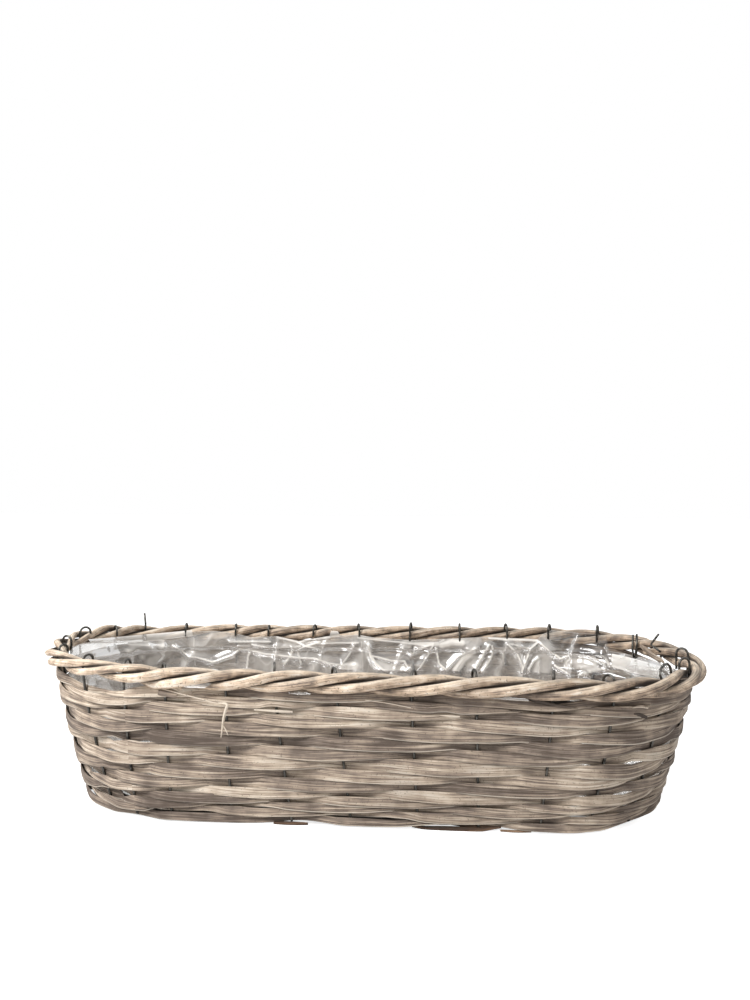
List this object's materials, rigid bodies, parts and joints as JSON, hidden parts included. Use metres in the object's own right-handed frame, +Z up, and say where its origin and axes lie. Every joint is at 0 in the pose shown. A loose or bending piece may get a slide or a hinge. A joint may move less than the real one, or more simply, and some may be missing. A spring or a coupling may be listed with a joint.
{
  "type": "willow planter basket",
  "caption": "Long oval planting trough of split willow strip woven over wire stakes, with a twisted willow border and a clear film liner.",
  "frame": {"origin": "middle of the base, on the surface that the basket stands on", "axes": "+X along the basket, +Y across it towards the back, +Z up"},
  "size_m": [0.599, 0.2612, 0.1383],
  "materials": {
    "willow_rod": "peeled round willow, grey washed, warm tan",
    "willow_strip": "split willow strip, grey washed, matt",
    "base_willow": "split brown willow, matt",
    "galvanised_wire": "dull galvanised",
    "clear_film": "clear creased polythene film"
  },
  "bodies": {
    "root": {"border_rod_1": "willow_rod", "border_rod_2": "willow_rod", "border_rod_3": "willow_rod", "weaver_row_1": "willow_strip", "weaver_row_2": "willow_strip", "weaver_row_3": "willow_strip", "weaver_row_4": "willow_strip", "weaver_row_5": "willow_strip", "weaver_row_6": "willow_strip", "weaver_row_7": "willow_strip", "weaver_row_8": "willow_strip", "weaver_row_9": "willow_strip", "weaver_row_10": "willow_strip", "weaver_row_11": "willow_strip", "weaver_row_12": "willow_strip", "weaver_row_13": "willow_strip", "weaver_row_14": "willow_strip", "weaver_row_15": "willow_strip", "cross_wire_1": "galvanised_wire", "cross_wire_2": "galvanised_wire", "cross_wire_3": "galvanised_wire", "cross_wire_4": "galvanised_wire", "cross_wire_5": "galvanised_wire", "cross_wire_6": "galvanised_wire", "cross_wire_7": "galvanised_wire", "cross_wire_8": "galvanised_wire", "cross_wire_9": "galvanised_wire", "lengthwise_wire_1": "galvanised_wire", "lengthwise_wire_2": "galvanised_wire", "lengthwise_wire_3": "galvanised_wire", "lengthwise_wire_4": "galvanised_wire", "lengthwise_wire_5": "galvanised_wire", "lengthwise_wire_6": "galvanised_wire", "base_ring_1": "base_willow", "base_ring_2": "base_willow", "base_ring_3": "base_willow", "base_ring_4": "base_willow", "base_ring_5": "base_willow", "base_ring_6": "base_willow", "base_ring_7": "base_willow", "film_liner": "clear_film"}
  },
  "joints": []
}
